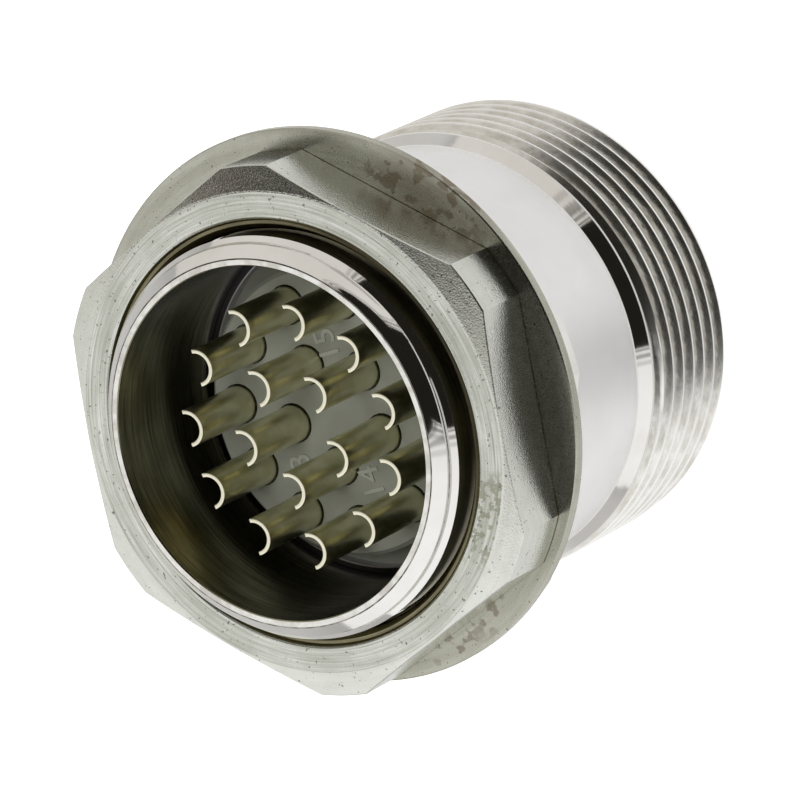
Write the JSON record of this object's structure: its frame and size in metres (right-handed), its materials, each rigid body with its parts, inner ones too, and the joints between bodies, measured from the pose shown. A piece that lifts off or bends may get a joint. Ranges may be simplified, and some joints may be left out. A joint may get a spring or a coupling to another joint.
{
  "type": "circular panel connector",
  "caption": "Round metal panel connector seen from its solder side: threaded shell with a hexagonal shoulder, panel nut and washer, resin insert and half-cut solder-cup pin contacts.",
  "frame": {"origin": "on the connector's axis, in the panel face of the shell's hexagonal shoulder", "axes": "+Z along the axis towards the solder side, so that the part stands on its coupling end; +X through contact 10, away from the open sides of the solder cups"},
  "size_m": [0.0276, 0.0276, 0.0241],
  "materials": {
    "bright_nickel": "bright nickel plate on turned brass",
    "satin_nickel": "satin nickel plate on turned brass",
    "dull_nickel": "dull spotted nickel plate on punched brass",
    "grey_resin": "matt moulded",
    "pale_gold": "pale gold plate on turned brass"
  },
  "bodies": {
    "shell_body": {"shell": "bright_nickel", "insert_rear": "grey_resin", "insert_front": "grey_resin", "retaining_ring": "bright_nickel", "contact_01": "pale_gold", "contact_02": "pale_gold", "contact_03": "pale_gold", "contact_04": "pale_gold", "contact_05": "pale_gold", "contact_06": "pale_gold", "contact_07": "pale_gold", "contact_08": "pale_gold", "contact_09": "pale_gold", "contact_10": "pale_gold", "contact_11": "pale_gold", "contact_12": "pale_gold", "contact_13": "pale_gold", "contact_14": "pale_gold", "contact_15": "pale_gold", "contact_16": "pale_gold"},
    "washer_body": {"washer": "dull_nickel"},
    "nut_body": {"nut": "satin_nickel"}
  },
  "joints": [
    {"name": "washer_slide", "type": "slide", "parent": "shell_body", "child": "washer_body", "axis": [0, 0, 1], "range_m": [0, 0.002]},
    {"name": "nut_turn", "type": "hinge", "parent": "washer_body", "child": "nut_body", "pos_m": [0, 0, 0.0006], "axis": [0, 0, 1], "range_deg": [0, 720]}
  ],
  "couplings": [
    {"joint": "washer_slide", "follows": "nut_turn", "m_per_rad": 0.00015915}
  ]
}
